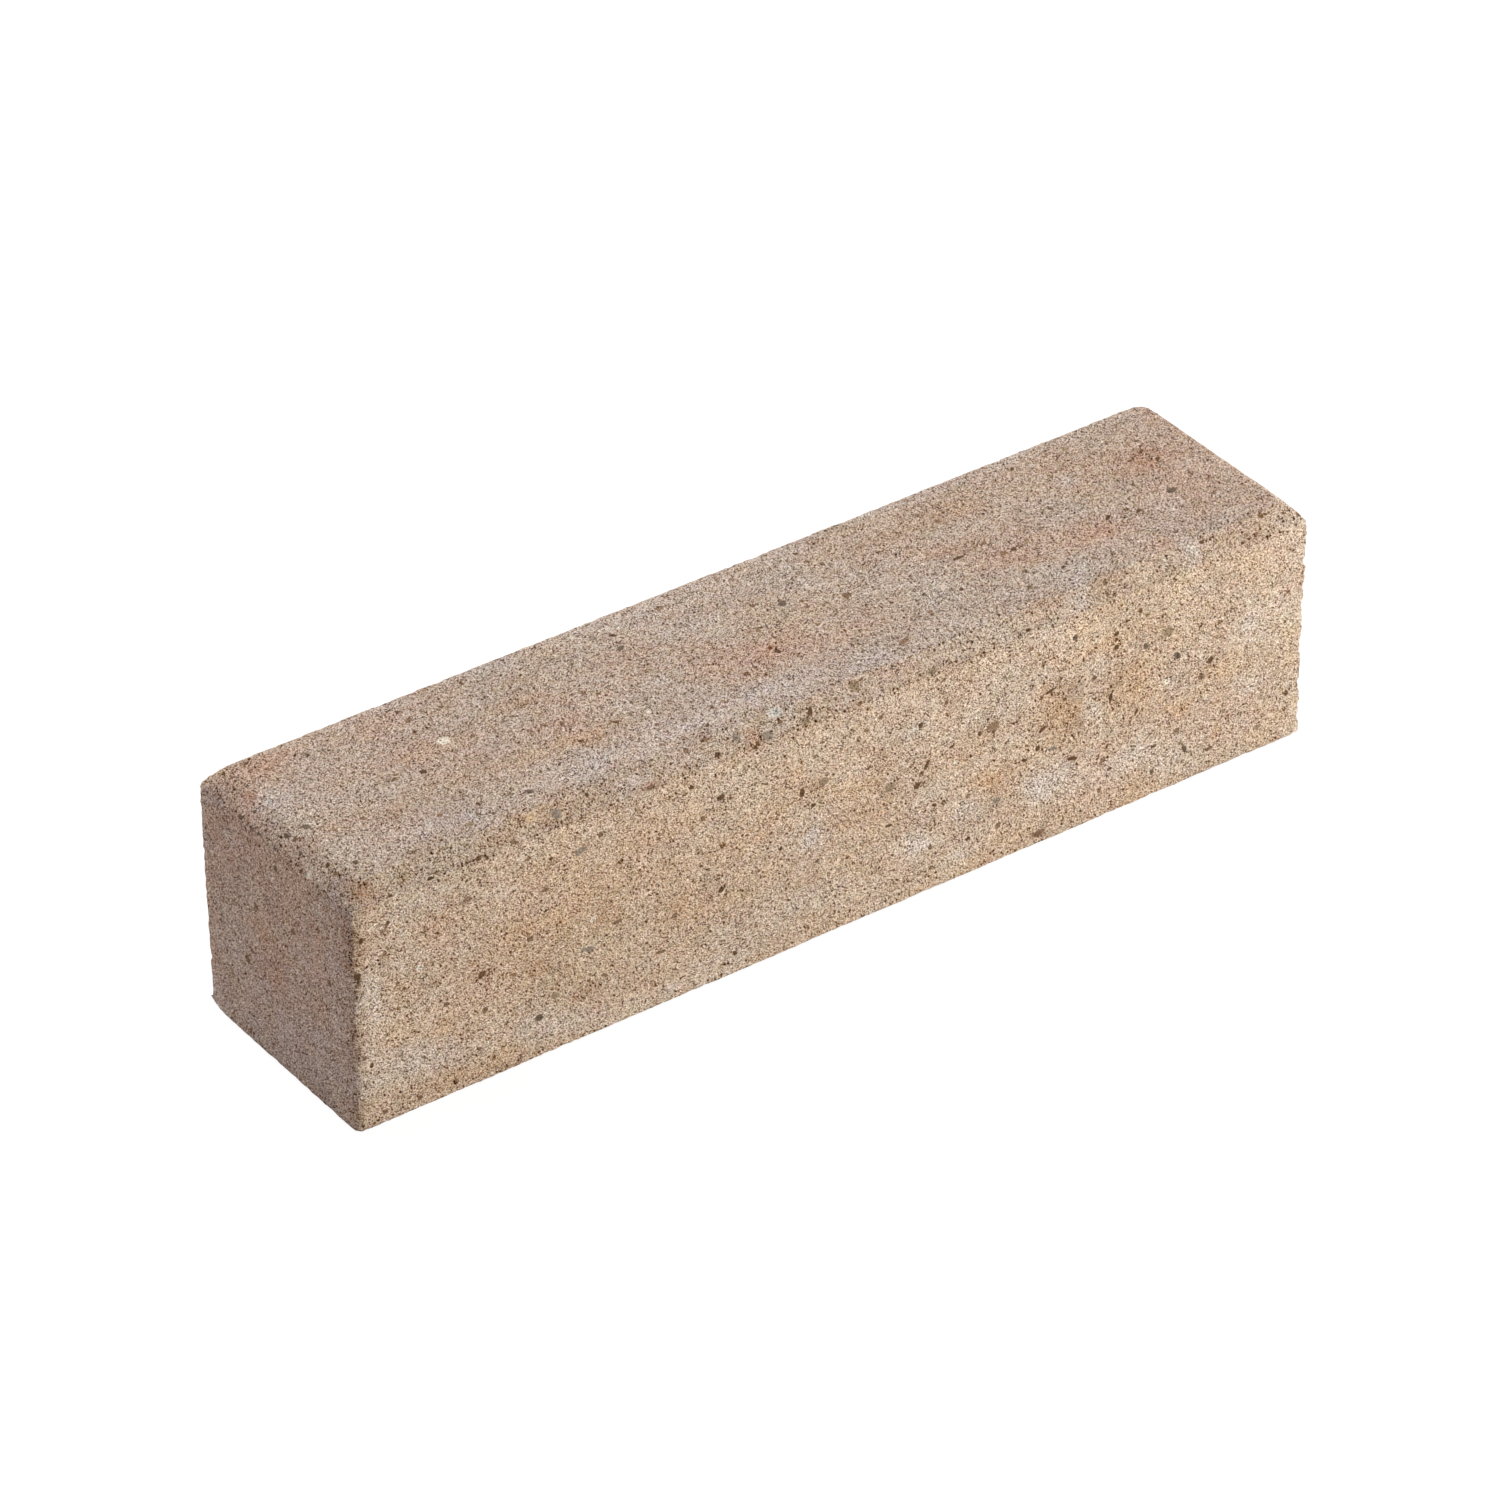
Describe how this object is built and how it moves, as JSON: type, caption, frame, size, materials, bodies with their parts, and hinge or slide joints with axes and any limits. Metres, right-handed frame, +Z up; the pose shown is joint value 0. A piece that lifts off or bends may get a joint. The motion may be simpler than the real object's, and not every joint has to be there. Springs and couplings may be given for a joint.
{
  "type": "concrete palisade post",
  "caption": "Square-section concrete palisade post in sand-coloured stone-look concrete, chamfered around one long face, for garden edging, steps and low borders.",
  "frame": {"origin": "centre of the bottom face, on the surface the post lies on", "axes": "+X along the post, +Y across its width, +Z up, out of the chamfered face"},
  "size_m": [0.5, 0.115, 0.12],
  "materials": {
    "concrete": "rough pressed concrete, sandy grain in mixed beige, ochre and pinkish grey"
  },
  "bodies": {
    "root": {"palisade_post": "concrete"}
  },
  "joints": []
}
